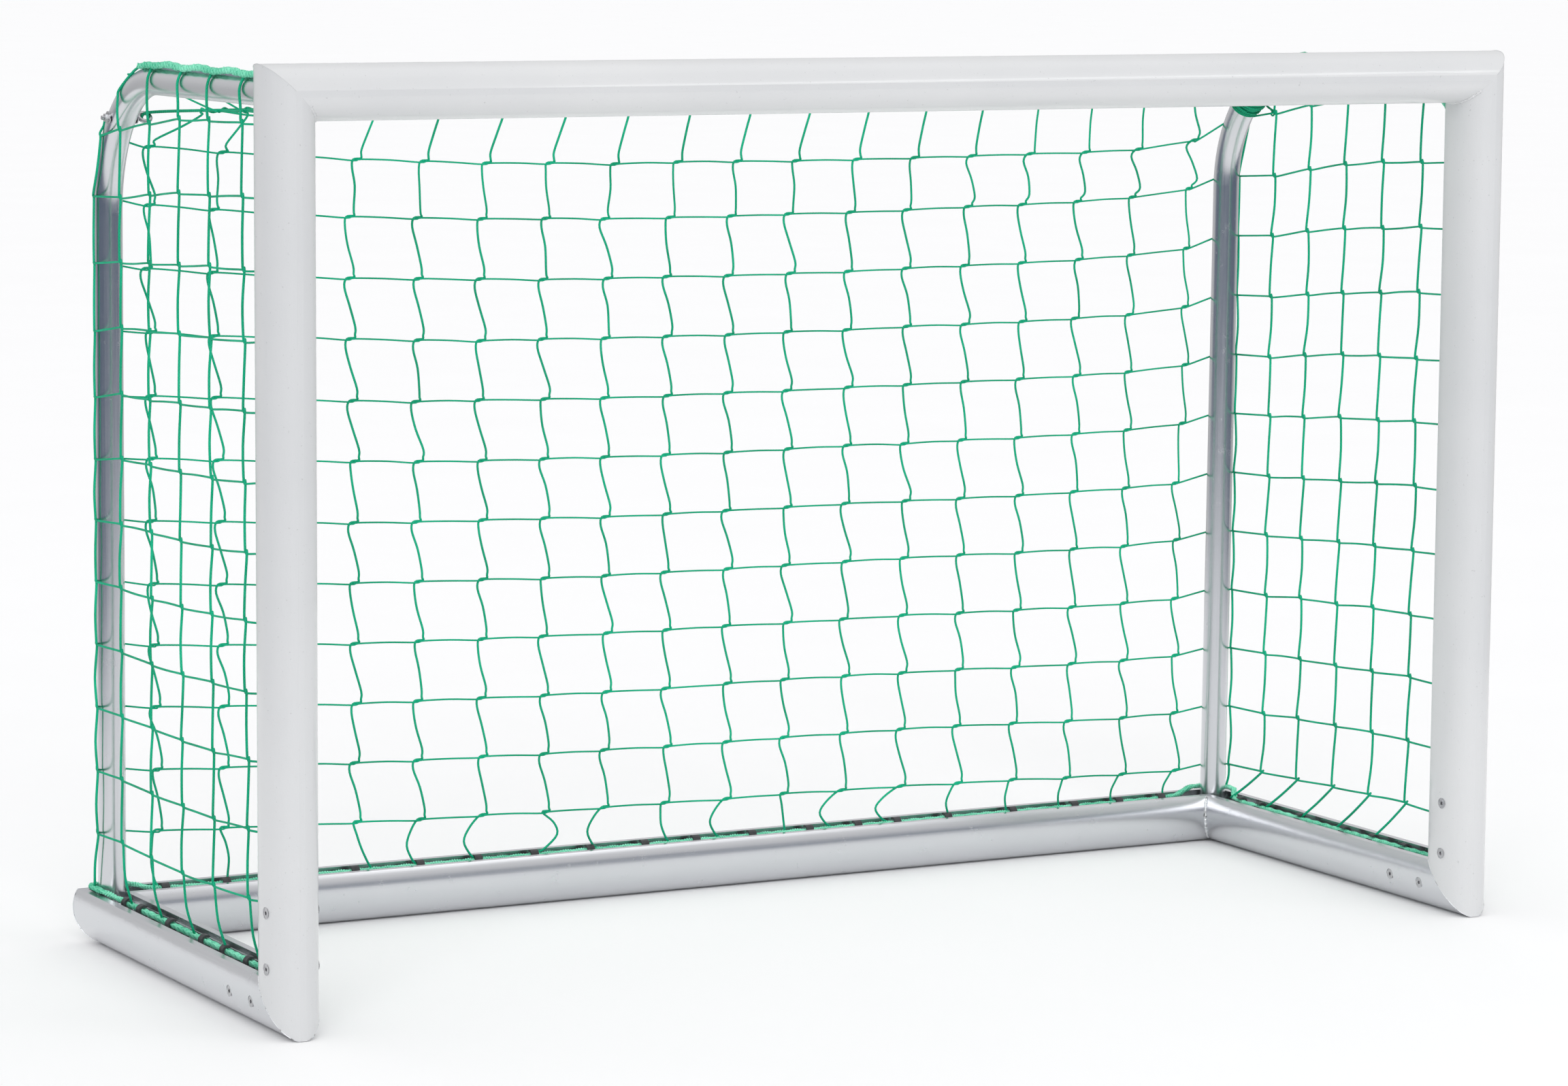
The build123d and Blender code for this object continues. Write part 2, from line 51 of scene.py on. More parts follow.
# ---------------------------------------------------------------- sizes of the frame, from the CAD
OPENING_WIDTH = 1.8
OVAL_U = 0.0375                 # half the oval's narrow way
OVAL_W = 0.0503                 # half its long way, before its nose is flattened
NOSE_W = 0.05                   # from its axis to the nose
LIP_W = 0.0265                  # and to the lips of its groove
GROOVE_ROPE_W = 0.022           # and to the rope that the clips hold
POST_X = OPENING_WIDTH / 2 + OVAL_U
POST_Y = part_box("left_post")[0].y + NOSE_W
REAR_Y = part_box("rear_ground_rail")[1].y - OVAL_U
RAIL_Z = NOSE_W
BAR_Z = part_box("crossbar")[1].z - OVAL_U
LIP_Y = POST_Y + LIP_W
ROPE_Y = POST_Y + GROOVE_ROPE_W
ROPE_Z = RAIL_Z + GROOVE_ROPE_W
TUBE_R = 0.02                   # the net brackets: an upright leg, a bend and an arm to the front
TUBE_X = 0.9325
ARM_Z = 1.2365
LEG_FOOT_Y = 0.33
LEG_FOOT_Z = 0.058
LEG_TOP_Y = 0.32
BEND_R = 0.193
BEND_Y = 0.127
BEND_Z = ARM_Z - BEND_R
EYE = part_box("left_eye_bolt")
EYE_Y = (EYE[0].y + EYE[1].y) / 2
EYE_Z = (EYE[0].z + EYE[1].z) / 2
RING_X = 0.8995                 # middle of each eye bolt's ring

# ---------------------------------------------------------------- net
BACK_DOWN_R = 0.0017            # slack twine is rounder than the taut rows
BACK_ROW_R = 0.00145
SIDE_DOWN_R = 0.0019
SIDE_ROW_R = 0.0016
ROWS = 12
COLUMNS = 18
COLUMN_FIRST = -0.857
COLUMN_PITCH = 0.1016
FIRST_SHIFT = -0.020            # the first row's knots, along X
SECOND_SHIFT = -0.029           # the second row's, and how much less it is at each row below
SHIFT_STEP = 0.0029
SLACK_FROM = 11                 # the upper cells hang looser in the columns after this one
BACK_TOP_Z = 1.109              # first row, at the middle of the back
BACK_ROW_PITCH = 0.0887
FIRST_ROW_SAG = 0.008
TIE_Z = EYE_Z + 0.008           # the tension rope, on top of the rings' holes
LEG_OUT = TUBE_R + 0.0022       # twine lying on the bracket, from the tube's middle
SIDE_OUT = 0.955                # how far out the side panels hang
SIDE_TOP_Z = {-1: 1.193, 1: 1.208}  # a side's first row at the post; -1 is the left side
SIDE_ROW_PITCH = {-1: 0.093, 1: 0.0972}
SIDE_FAR_S = {-1: 0.570, 1: 0.575}  # where its rows reach the leg
FRONT_S = 0.022                 # s runs back from the post's axis
LEFT_TOP_S = (0.104, 0.216, 0.323, 0.430, 0.539)
LEFT_PITCH = 0.109
LEFT_FOOT_S = (0.098, 0.213, 0.327, 0.441, 0.556)
RIGHT_S = (0.154, 0.252, 0.351, 0.450, 0.548)
LEFT_CORNER_S = (0.641, 0.644)  # the corner's knots, first and last row
RIGHT_CORNER_S = (0.645, 0.650)
FIRST_CORNER_S = {-1: 0.616, 1: 0.618}
CORNER_FOOT_X = 0.9585          # where the corner strand meets the rope round the bracket's foot
CORNER_FOOT_Y = 0.331
# how each vertical crosses the lowest cell of the back, in mm: its swing on the way, and where it ends
BOTTOM_SWINGS = (
    (-6, 4), (8, 10), (-12, -5), (-3, 30), (-16, 0), (-22, -5), (30, -8), (-19, -6), (-7, 14),
    (-19, -6), (0, 10), (-26, -11), (-30, -17), (-11, -7), (-6, -3), (-5, -7), (-7, -15), (-8, -18),
)
ROOF_ROWS_Y = (0.205, 0.105, 0.005, -0.095, -0.195)
CHAIN_END = {-1: radians(82), 1: radians(70)}  # how far round the bend the edge rope ends
CHAIN_TURN = {-1: radians(35), 1: radians(55)}  # how far it has rolled outwards off the top of the tube
CHAIN_OUT = 0.0253
CHAIN_WAVE = 0.0042             # how high the left one stands up between the columns
# how the left panel's last strands climb over the bend: degrees along it, height on it, place across it
LAST_COLUMN_CLIMB = ((82, 0.0235, 0.008), (73, 0.0205, 0.011))
CORNER_CLIMB = ((74, 0.0198, -0.010), (60, 0.0198, -0.010), (48, 0.022, -0.004), (41, 0.018, 0.014))
RIGHT_CORNER_TOP = 44


# ---------------------------------------------------------------- strands
def unit(v):
    return v / np.linalg.norm(v)


def smooth(points, per=4):
    """A soft line through all the points."""
    p = np.asarray(points, float)
    ends = np.vstack([2 * p[0] - p[1], p, 2 * p[-1] - p[-2]])
    t = (np.arange(per) / per)[:, None]
    spans = []
    for a, b, c, d in zip(ends[:-3], ends[1:-2], ends[2:-1], ends[3:]):
        square = 2 * a - 5 * b + 4 * c - d
        cube = 3 * b - a - 3 * c + d
        spans.append(0.5 * (2 * b + (c - a) * t + square * t**2 + cube * t**3))
    return np.vstack(spans + [p[-1:]])


def spline(points, step=0.002):
    """Even points along a NURBS line that has these as its control points."""
    curve = bpy.data.curves.new("route", "CURVE")
    curve.dimensions = "3D"
    line = curve.splines.new("NURBS")
    line.points.add(len(points) - 1)
    for place, p in zip(line.points, points):
        place.co = (*p, 1)
    line.order_u = 3
    line.use_endpoint_u = True
    line.resolution_u = 32
    carrier = bpy.data.objects.new("route", curve)
    mesh = bpy.data.meshes.new_from_object(carrier)
    found = np.array([v.co for v in mesh.vertices])
    bpy.data.objects.remove(carrier)
    bpy.data.curves.remove(curve)
    bpy.data.meshes.remove(mesh)
    return even(found, step)


def run_along(points):
    """The length of a line up to each of its points."""
    return np.concatenate([[0], np.cumsum(np.linalg.norm(np.diff(points, axis=0), axis=1))])


def even(points, step):
    """The same line with its points this far apart."""
    lengths = run_along(points)
    places = np.linspace(0, lengths[-1], max(2, round(lengths[-1] / step) + 1))
    return np.column_stack([np.interp(places, lengths, points[:, i]) for i in range(3)])


def frames(points):
    """Tangents and two steady cross directions along a line."""
    tangents = np.gradient(points, axis=0)
    tangents /= np.linalg.norm(tangents, axis=1)[:, None]
    up = np.array((0.0, 0.0, 1.0)) if abs(tangents[0][2]) < 0.9 else np.array((0.0, 1.0, 0.0))
    across = np.empty_like(tangents)
    side = unit(np.cross(up, tangents[0]))
    for i, t in enumerate(tangents):
        side = side - t * (side @ t)
        side = side / np.linalg.norm(side)
        across[i] = side
    return tangents, across, np.cross(tangents, across)


class Strands:
    """Round strands gathered into one closed mesh, with u round each strand and v its length in metres."""

    def __init__(self, sides):
        self.sides = sides
        self.verts = []
        self.faces = []
        self.uvs = []
        self.count = 0

    def add(self, points, radius):
        points = np.asarray(points, float)
        n, sides = len(points), self.sides
        radius = np.broadcast_to(radius, n)[:, None, None]
        _, across, up = frames(points)
        turn = np.arange(sides) * 2 * pi / sides
        ring = across[:, None] * np.cos(turn)[:, None] + up[:, None] * np.sin(turn)[:, None]
        self.verts.append((points[:, None] + ring * radius).reshape(-1, 3))
        v = run_along(points)
        i, j = np.meshgrid(np.arange(n - 1), np.arange(sides), indexing="ij")
        i, j = i.ravel(), j.ravel()
        k = (j + 1) % sides
        start = self.count
        quads = np.column_stack([i * sides + j, i * sides + k, (i + 1) * sides + k, (i + 1) * sides + j])
        self.faces += (quads + start).tolist()
        u0, u1 = j / sides, (j + 1) / sides
        loops = np.stack([u0, v[i], u1, v[i], u1, v[i + 1], u0, v[i + 1]], axis=1)
        self.uvs.append(loops.ravel())
        first = list(range(start, start + sides))
        last = list(range(start + (n - 1) * sides, start + n * sides))
        self.faces += [first[::-1], last]
        self.uvs.append(np.zeros(4 * sides))
        self.count += n * sides

    def build(self, name, material, slot, *nodes):
        mesh = bpy.data.meshes.new(name)
        mesh.from_pydata(np.vstack(self.verts).tolist(), [], self.faces)
        layer = mesh.uv_layers.new(name="UVMap")
        layer.data.foreach_set("uv", np.concatenate(self.uvs).astype(np.float32))
        mesh.polygons.foreach_set("use_smooth", [True] * len(mesh.polygons))
        mesh.materials.append(material)
        piece = bpy.data.objects.new(name, mesh)
        bpy.context.scene.collection.objects.link(piece)
        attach(piece, "root")
        if nodes:
            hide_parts(*nodes)
        return piece


# ---------------------------------------------------------------- materials
MIX_FACTOR, MIX_A, MIX_B, MIX_RESULT = 0, 6, 7, 2  # the colour sockets of a Mix node


class Nodes:
    """Short calls that put a node tree together."""

    def __init__(self, tree):
        self.tree = tree

    def node(self, kind, inputs=(), **settings):
        made = self.tree.nodes.new(kind)
        for key, value in settings.items():
            setattr(made, key, value)
        for key, value in dict(inputs).items():
            if isinstance(value, bpy.types.NodeSocket):
                self.tree.links.new(value, made.inputs[key])
            else:
                made.inputs[key].default_value = value
        return made

    def remap(self, value, low, high, to_low=0.0, to_high=1.0):
        inputs = {"Value": value, "From Min": low, "From Max": high, "To Min": to_low, "To Max": to_high}
        return self.node("ShaderNodeMapRange", inputs).outputs[0]

    def math(self, operation, a, b=0.0):
        return self.node("ShaderNodeMath", {0: a, 1: b}, operation=operation).outputs[0]

    def toward(self, direction, way):
        """How nearly a direction points this way: 1 when it does, -1 when it points back."""
        made = self.node("ShaderNodeVectorMath", {0: direction, 1: way}, operation="DOT_PRODUCT")
        return made.outputs["Value"]

    def mix(self, factor, a, b):
        """From colour a to colour b; either may be another node's colour."""
        inputs = {MIX_FACTOR: factor}
        for place, color in ((MIX_A, a), (MIX_B, b)):
            inputs[place] = (*color, 1) if isinstance(color, tuple) else color
        return self.node("ShaderNodeMix", inputs, data_type="RGBA").outputs[MIX_RESULT]


class Shader(Nodes):
    """A Principled material put together from procedural nodes."""

    def __init__(self, name, **sockets):
        self.material = bpy.data.materials.new(name)
        self.material.use_nodes = True
        super().__init__(self.material.node_tree)
        self.surface = self.tree.nodes["Principled BSDF"]
        for socket, value in sockets.items():
            self.surface.inputs[socket.replace("_", " ")].default_value = value

    def place(self, stretch=(1, 1, 1)):
        coordinates = self.node("ShaderNodeTexCoord").outputs["Object"]
        return self.node("ShaderNodeMapping", {"Vector": coordinates, "Scale": stretch}).outputs[0]

    def noise(self, scale, stretch=(1, 1, 1), detail=3.0, rough=0.55):
        inputs = {"Vector": self.place(stretch), "Scale": scale, "Detail": detail, "Roughness": rough}
        return self.node("ShaderNodeTexNoise", inputs).outputs["Fac"]

    def bump(self, height, distance, below=None):
        inputs = {"Height": height, "Distance": distance, "Strength": 1.0}
        if below is not None:
            inputs["Normal"] = below
        return self.node("ShaderNodeBump", inputs).outputs[0]

    def finish(self, color=None, roughness=None, normal=None):
        for socket, value in (("Base Color", color), ("Roughness", roughness), ("Normal", normal)):
            if value is not None:
                self.tree.links.new(value, self.surface.inputs[socket])
        return self.material


def powder_coat():
    s = Shader("white_coating", Metallic=0.0, Coat_Weight=0.55, Coat_Roughness=0.12)
    cloud = s.remap(s.noise(3.0), 0.35, 0.65)
    speck = s.remap(s.noise(260.0, detail=1.0), 0.72, 0.80)
    color = s.mix(speck, s.mix(cloud, (0.655, 0.662, 0.67), (0.69, 0.695, 0.70)), (0.55, 0.555, 0.56))
    peel = s.bump(s.noise(420.0, detail=1.5), 0.00012)
    return s.finish(color, s.remap(s.noise(9.0), 0.3, 0.7, 0.30, 0.40), peel)


def lengthwise(s, axis, fine, long):
    """Streaks along x, y or z."""
    stretch = [fine, fine, fine]
    stretch[axis] = long
    return s.noise(1.0, tuple(stretch), detail=4.0, rough=0.6)


def satin_aluminium(name, axis, streaks=None):
    s = Shader(name, Metallic=1.0)
    drawn = lengthwise(s, axis, 420.0, 2.5) if streaks is None else streaks(s)
    cloud = s.remap(s.noise(5.0, detail=4.0), 0.35, 0.7)
    worn = s.remap(s.noise(38.0, detail=6.0, rough=0.7), 0.60, 0.74)
    scratch = s.remap(lengthwise(s, (axis + 1) % 3, 900.0, 60.0), 0.70, 0.78)
    color = s.mix(s.remap(drawn, 0.3, 0.7), (0.655, 0.665, 0.69), (0.68, 0.69, 0.71))
    color = s.mix(s.math("MULTIPLY", cloud, 0.5), color, (0.71, 0.715, 0.74))
    color = s.mix(s.math("MULTIPLY", worn, 0.10), color, (0.48, 0.49, 0.52))
    color = s.mix(s.math("MULTIPLY", scratch, 0.30), color, (0.45, 0.46, 0.49))
    rough = s.math("ADD", s.remap(drawn, 0.3, 0.7, 0.21, 0.27), s.math("MULTIPLY", worn, 0.08))
    return s.finish(color, rough, s.bump(drawn, 0.000015))


def bracket_streaks(s):
    """Lengthwise on the upright leg, turning to lengthwise on the arm over the bend."""
    leg = lengthwise(s, 2, 420.0, 2.5)
    arm = lengthwise(s, 1, 420.0, 2.5)
    height = s.node("ShaderNodeSeparateXYZ", {0: s.place()}).outputs[2]
    over = s.remap(height, BEND_Z + 0.06, BEND_Z + 0.16)
    kept = s.math("SUBTRACT", 1.0, over)
    return s.math("ADD", s.math("MULTIPLY", leg, kept), s.math("MULTIPLY", arm, over))


def cast_aluminium():
    s = Shader("cast_aluminium", Metallic=1.0)
    grain = s.noise(700.0, detail=2.0)
    color = s.mix(s.remap(s.noise(30.0), 0.35, 0.65), (0.50, 0.51, 0.53), (0.62, 0.63, 0.65))
    return s.finish(color, s.remap(grain, 0.3, 0.7, 0.45, 0.65), s.bump(grain, 0.0003))


def zinc():
    s = Shader("zinc_steel", Metallic=1.0)
    spangle = s.noise(500.0, detail=2.0)
    color = s.mix(s.remap(spangle, 0.35, 0.65), (0.40, 0.40, 0.41), (0.55, 0.55, 0.57))
    return s.finish(color, s.remap(s.noise(160.0), 0.3, 0.7, 0.20, 0.38), s.bump(spangle, 0.00005))


def moulded_nylon():
    s = Shader("black_plastic", Metallic=0.0)
    grain = s.noise(900.0, detail=2.0)
    color = s.mix(s.remap(s.noise(120.0), 0.35, 0.65), (0.030, 0.030, 0.033), (0.055, 0.054, 0.058))
    return s.finish(color, s.remap(grain, 0.3, 0.7, 0.42, 0.60), s.bump(grain, 0.00012))


def braid_height(s, round_count, pitch):
    """Diamonds of a braid or, with round_count 1, the lay of a twisted cord."""
    uv = s.node("ShaderNodeSeparateXYZ", {0: s.node("ShaderNodeTexCoord").outputs["UV"]}).outputs
    turns = s.math("MULTIPLY", uv[0], 2 * pi * round_count)
    run = s.math("MULTIPLY", uv[1], 2 * pi / pitch)
    one = s.math("SINE", s.math("ADD", turns, run))
    if round_count == 1:
        return s.remap(one, -1, 1)
    other = s.math("SINE", s.math("SUBTRACT", turns, run))
    return s.remap(s.math("MAXIMUM", one, other), -1, 1)


def twine(name, dark, light, round_count=3, pitch=0.0045, rough=0.55):
    s = Shader(name, Metallic=0.0, Specular_IOR_Level=0.2, Sheen_Weight=0.05, Sheen_Roughness=0.5)
    s.surface.inputs["Sheen Tint"].default_value = (*light, 1)
    braid = braid_height(s, round_count, pitch)
    fibre = s.noise(1400.0, detail=2.0)
    patch = s.remap(s.noise(14.0), 0.35, 0.65)
    # The braid's height also sets the colour: the dark colour is painted shade in the grooves between its
    # strands, the light one a painted highlight on their crowns; the patches are random tone.
    color = s.mix(s.math("MULTIPLY", s.math("ADD", braid, patch), 0.5), dark, light)
    normal = s.bump(fibre, 0.00015, s.bump(braid, 0.0006))
    return s.finish(color, s.remap(fibre, 0.3, 0.7, rough - 0.08, rough + 0.1), normal)


def weld_metal():
    s = Shader("weld_metal", Metallic=1.0)
    burn = s.remap(s.noise(120.0, detail=3.0), 0.55, 0.68)
    color = s.mix(burn, (0.82, 0.83, 0.85), (0.16, 0.15, 0.15))
    return s.finish(color, s.remap(s.noise(300.0), 0.3, 0.7, 0.2, 0.42), s.bump(s.noise(600.0), 0.0002))


COAT = powder_coat()
RAIL_Y_METAL = satin_aluminium("aluminium_side_rail", 1)
RAIL_X_METAL = satin_aluminium("aluminium_rear_rail", 0)
BRACKET_METAL = satin_aluminium("aluminium_bracket", 2, bracket_streaks)
CAST = cast_aluminium()
ZINC = zinc()
NYLON = moulded_nylon()
WELD = weld_metal()
# Each twine's two colours: shaded in its grooves (painted shade), then lit on its crowns (painted
# highlight).
NET = twine("net_twine", (0.001, 0.29, 0.135), (0.004, 0.54, 0.29))
ROPE = twine("edge_rope", (0.010, 0.46, 0.24), (0.36, 1.0, 0.72), round_count=2, pitch=0.007)
CORD = twine("tie_cord", (0.002, 0.22, 0.10), (0.008, 0.42, 0.22), round_count=1, pitch=0.003)

NODE_METALS = {
    "left_post": COAT, "right_post": COAT, "crossbar": COAT,
    "left_ground_rail": RAIL_Y_METAL, "right_ground_rail": RAIL_Y_METAL, "rear_ground_rail": RAIL_X_METAL,
    "left_net_bracket": BRACKET_METAL, "right_net_bracket": BRACKET_METAL,
    "bracket_foot_welds": WELD, "bracket_top_welds": COAT,
}


def node_material(name):
    if name in NODE_METALS:
        return NODE_METALS[name]
    if "connector" in name:
        return CAST
    if "screws" in name or "eye_bolt" in name:
        return ZINC
    return NYLON if "clips" in name else NET


def dress_nodes():
    for name, piece in NODES.items():
        material = node_material(name)
        for slot in piece.material_slots:
            slot.link = "OBJECT"
            slot.material = material


dress_nodes()


# ---------------------------------------------------------------- where the net lies
def leg_y(z):
    """The middle of a bracket's upright leg, back along Y, at this height."""
    if z < BEND_Z:
        return LEG_FOOT_Y + (LEG_TOP_Y - LEG_FOOT_Y) * (z - LEG_FOOT_Z) / (BEND_Z - LEG_FOOT_Z)
    return BEND_Y + sqrt(max(0.0, BEND_R**2 - (z - BEND_Z) ** 2))


def arm_z(y):
    """The middle of a bracket's arm, up along Z, at this place."""
    return BEND_Z + sqrt(BEND_R**2 - max(0.0, y - BEND_Y) ** 2)


def back_y(x, z):
    """The back of the net: flat between the tension rope and the rear rail, drawn back to the legs."""
    down = (TIE_Z - z) / (TIE_Z - ROPE_Z)
    middle = EYE_Y + (REAR_Y - EYE_Y) * down
    reach = min(1.0, (abs(x) / TUBE_X) ** 6)
    return middle * (1 - reach) + (leg_y(z) + LEG_OUT) * reach


def left_leg_z(row):
    """Where a side row reaches the left leg."""
    return 1.1625 - 0.0907 * row


def left_back_z(row):
    """Where a back row leaves the left leg, lower than it came."""
    return 1.150 - 0.090 * row - (0.006 if row == 0 else 0)


def right_leg_z(row):
    return 1.155 - 0.0938 * row


def right_inner_z(row):
    """Height of a row a little inside the right leg."""
    return 1.111 if row == 0 else 1.037 - 0.0923 * (row - 1)


def right_steep(inner, edge):
    """How much of the rise to the right leg comes in the last cell, so the row passes its inner height."""
    broad, sharp = 0.752, 0.1355
    return (inner - broad * edge) / (sharp - broad)


def back_z(row, x):
    """Height of a row across the back; the sides hold it higher than the middle."""
    middle = BACK_TOP_Z - BACK_ROW_PITCH * row - (FIRST_ROW_SAG if row == 0 else 0)
    reach = abs(x) / 0.95
    if x < 0:
        return middle + (left_back_z(row) - middle) * reach ** (2.2 - 0.06 * row)
    edge = right_leg_z(row) - middle
    steep = right_steep(right_inner_z(row) - middle, edge)
    return middle + (edge - steep) * reach**2 + steep * reach**14


def back_x(column, row):
    """Across the back; the lower rows have slipped a little to the right, least by the right bracket."""
    shift = FIRST_SHIFT if row == 0 else SECOND_SHIFT + SHIFT_STEP * (row - 1)
    last_held = column == COLUMNS - 1 and row < ROWS / 2
    held = 0.35 if last_held else 0.6 if column == 0 and row > 0 else 1.0
    return COLUMN_FIRST + COLUMN_PITCH * column + shift * held


def tie_x(column):
    """Where a column meets the tension rope: the left ones lean most."""
    lean = 0.019 + 0.044 * 0.25**column - 0.030 * (column / (COLUMNS - 1)) ** 4
    return COLUMN_FIRST + COLUMN_PITCH * column + FIRST_SHIFT + lean


def jitter(size):
    return RANDOM.uniform(-size, size)


def back_knot(column, row):
    x = back_x(column, row) + jitter(0.003)
    return x, back_z(row, x) + jitter(0.0010)


BACK_KNOTS = {(column, row): back_knot(column, row) for row in range(ROWS) for column in range(COLUMNS)}


def on_back(x, z, out=0.0):
    return (x, back_y(x, z) + out, z)


MERGE_X = 0.006                 # half a merge of two strands
MERGE_Z = 0.0008
BESIDE = 0.0007                 # each strand off the merge's middle


def back_vertical(column):
    """One strand from the tension rope down to the rear rail's rope."""
    x, z = tie_x(column), TIE_Z
    points = [(x + 0.001, EYE_Y + 0.002, z + 0.003), (x, EYE_Y + 0.004, z - 0.003)]
    for row in range(ROWS):
        xb, zb = BACK_KNOTS[column, row]
        run = zb - z
        left, right = RANDOM.uniform(0.0005, 0.003), RANDOM.uniform(-0.003, 0.001)
        kink = RANDOM.uniform(-0.0025, 0.0025)
        arrive = xb + MERGE_X + right
        if row == 0:
            left, kink = -0.003, 0.001
        elif row == 1:
            slack = 0.002 * max(0, column - SLACK_FROM)
            left, arrive = left + slack * 0.7, arrive + slack
        for share, px in ((0.14, x - left), (0.45, x + (arrive - x) * 0.42 + kink), (0.80, arrive)):
            points.append(on_back(px, z + run * share))
        points.append(on_back(xb + MERGE_X + right * 0.6, zb - run * 0.07))
        points.append(on_back(xb + MERGE_X, zb + MERGE_Z + BESIDE, 0.0006))
        points.append(on_back(xb - MERGE_X, zb - MERGE_Z + BESIDE, 0.0006))
        x, z = xb - MERGE_X, zb - MERGE_Z
    swing, end = (v / 1000 for v in BOTTOM_SWINGS[column])
    foot = (x + end, REAR_Y, ROPE_Z + 0.002)
    for share, part in ((0.25, 0.7), (0.55, 1.0), (0.85, 0.45)):
        px = x + end * share + swing * part
        pz = z + (ROPE_Z - z) * share
        points.append((px, back_y(px, pz), pz))
    points.append(foot)
    return smooth(points)


def around_leg(side, row, angle):
    """A point of a row on the bracket's leg, angle round from its outer side to its back."""
    z = corner_z(side, row)
    return (side * (TUBE_X + LEG_OUT * cos(angle)), leg_y(z) + LEG_OUT * sin(angle), z)


def corner_z(side, row):
    if side < 0:
        dip = 0.012 * exp(-(((row - 4) / 2) ** 2))
        return 1.154 if row == 0 else left_leg_z(row) - 0.002 - dip
    return right_leg_z(row) - 0.003


def corner_s(side, row):
    top, foot = LEFT_CORNER_S if side < 0 else RIGHT_CORNER_S
    if row == 0:
        return FIRST_CORNER_S[side]
    return top + (foot - top) * row / (ROWS - 1)


def corner_knot(side, row):
    """Where a row turns from the side to the back, on the outer rear of the leg."""
    z = corner_z(side, row)
    y = POST_Y + corner_s(side, row)
    out = LEG_OUT + 0.001 + 0.004 * row / ROWS
    lean = min(1.0, max(-1.0, (y - leg_y(z)) / out))
    return np.array((side * (TUBE_X + out * sqrt(1 - lean**2)), y, z))


def back_horizontal(row):
    """One row from corner to corner, a little lower at the end of each merge."""
    points = [corner_knot(-1, row)]
    points += [around_leg(-1, row, radians(a)) for a in (40, 75)]
    for column in range(COLUMNS):
        x, z = BACK_KNOTS[column, row]
        points.append(on_back(x - MERGE_X, z - MERGE_Z - BESIDE, -0.0006))
        points.append(on_back(x + MERGE_X, z + MERGE_Z - BESIDE, -0.0006))
        if column < COLUMNS - 1:
            x2, z2 = BACK_KNOTS[column + 1, row]
            points.append(on_back((x + x2) / 2, (z + z2) / 2 + jitter(0.0005)))
    points += [around_leg(1, row, radians(a)) for a in (75, 40)]
    points.append(corner_knot(1, row))
    return smooth(points)


def make_back_net():
    strands = Strands(6)
    for column in range(COLUMNS):
        strands.add(back_vertical(column), BACK_DOWN_R)
    for row in range(ROWS):
        strands.add(back_horizontal(row), BACK_ROW_R)
    return strands.build("back_net_twine", NET, "net_twine", "back_net")


def side_z(side, row, s):
    """Height of a row on a side panel."""
    if side < 0:
        back = left_leg_z(row)
        bow = 0.019 * exp(-row / 2.2) - 0.006
    else:
        back = right_leg_z(row)
        bow = 0.014 * exp(-row / 2.5) + 0.002
    front = SIDE_TOP_Z[side] - SIDE_ROW_PITCH[side] * row
    share = (s - FRONT_S) / (SIDE_FAR_S[side] - FRONT_S)
    return front + (back - front) * share + bow * sin(pi * min(1.0, share))


def side_s(side, column, row):
    if side > 0:
        return RIGHT_S[column]
    top, foot = LEFT_TOP_S[column], LEFT_FOOT_S[column]
    return top + (foot - top) * row / (ROWS - 1)


def side_x(side, s):
    share = min(1.0, (s - FRONT_S) / 0.09)
    return side * (POST_X + (SIDE_OUT - POST_X) * share**0.6)


def side_knot(side, column, row):
    s = side_s(side, column, row) + SIDE_JITTER[side, column, row][0]
    z = side_z(side, row, s) + SIDE_JITTER[side, column, row][1]
    return np.array((side_x(side, s), POST_Y + s, z))


SIDE_JITTER = {
    (side, column, row): (jitter(0.003), jitter(0.0015))
    for side in (-1, 1) for column in range(len(RIGHT_S)) for row in range(ROWS)
}
SIDE_MERGE = np.array((0, 0.003, 0.0008))
SIDE_BESIDE = np.array((0, 0, 0.0011))


def chain_offset(side):
    """How far out from the tube's middle the edge rope lies, and how high above it."""
    return CHAIN_OUT * sin(CHAIN_TURN[side]), CHAIN_OUT * cos(CHAIN_TURN[side])


def chain_point(side, y):
    """On the crocheted edge, which lies on top of the bracket, turned outwards."""
    out, rise = chain_offset(side)
    reach = BEND_R + rise
    z = BEND_Z + sqrt(reach**2 - max(0.0, y - BEND_Y) ** 2)
    return np.array((side * (TUBE_X + out), y, z))


def beside_bend(side, along, reach, out):
    """A place along a bend, this far outside its line and this far to the goal's outside."""
    r = BEND_R + reach
    return np.array((side * (TUBE_X + out), BEND_Y + r * cos(along), BEND_Z + r * sin(along)))


def climb(side, route):
    return [beside_bend(side, radians(degrees), reach, out) for degrees, reach, out in route]


def side_vertical(side, column):
    """From the bracket's edge rope over its outer face and down to the rope in the ground rail."""
    knots = [side_knot(side, column, row) for row in range(ROWS)]
    y = knots[0][1] + 0.004
    middle = arm_z(y)
    if side < 0 and column == len(RIGHT_S) - 1:
        points = climb(side, LAST_COLUMN_CLIMB)
    else:
        points = [chain_point(side, y)]
    points += [
        (side * (TUBE_X + LEG_OUT * 0.92), y, middle + LEG_OUT * 0.42),
        (side * (TUBE_X + LEG_OUT + 0.0008), y, middle - 0.002),
    ]
    for row, knot in enumerate(knots):
        above = points[-1] if row == 0 else knots[row - 1]
        between = (np.asarray(above) + knot) / 2
        points.append(between + np.array((side * 0.001, jitter(0.003), 0)))
        points.append(knot + SIDE_MERGE + SIDE_BESIDE)
        points.append(knot - SIDE_MERGE + SIDE_BESIDE)
    slant = 0.060 if side > 0 else -0.006 + 0.004 * column
    foot = np.array((side * POST_X, knots[-1][1] + slant, ROPE_Z + 0.002))
    low = knots[-1] * 0.45 + foot * 0.55
    low[0] += side * 0.004
    points += [low, foot]
    return smooth(points)


